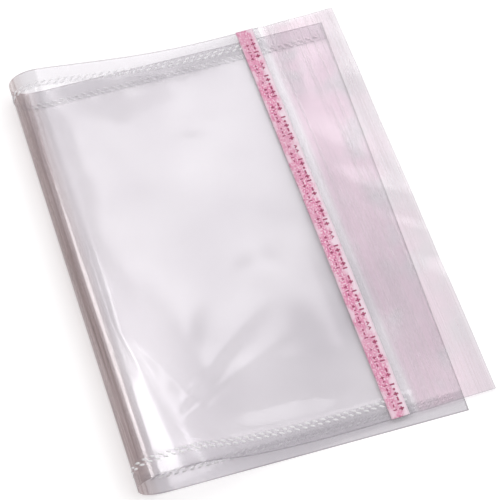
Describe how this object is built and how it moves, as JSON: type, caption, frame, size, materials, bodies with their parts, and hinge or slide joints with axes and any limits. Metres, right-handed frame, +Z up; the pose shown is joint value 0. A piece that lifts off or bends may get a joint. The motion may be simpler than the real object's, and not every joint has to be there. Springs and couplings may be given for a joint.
{
  "type": "self-seal poly bag",
  "caption": "Clear self-seal poly bag, folded over once, with an open mouth, a sealing flap and a strip under its release liner.",
  "frame": {"origin": "bottom centre of the bounding box, on the surface that the bag lies on", "axes": "+Z up; +Y along the rounded fold, the longest way; +X from the fold towards the flap"},
  "size_m": [0.1752, 0.235, 0.0205],
  "materials": {
    "clear_film": "clear, glossy",
    "adhesive": "tacky, half clear",
    "liner": "satin"
  },
  "bodies": {
    "root": {"bag_film": "clear_film", "adhesive_strip": "adhesive", "release_liner": "liner"}
  },
  "joints": []
}
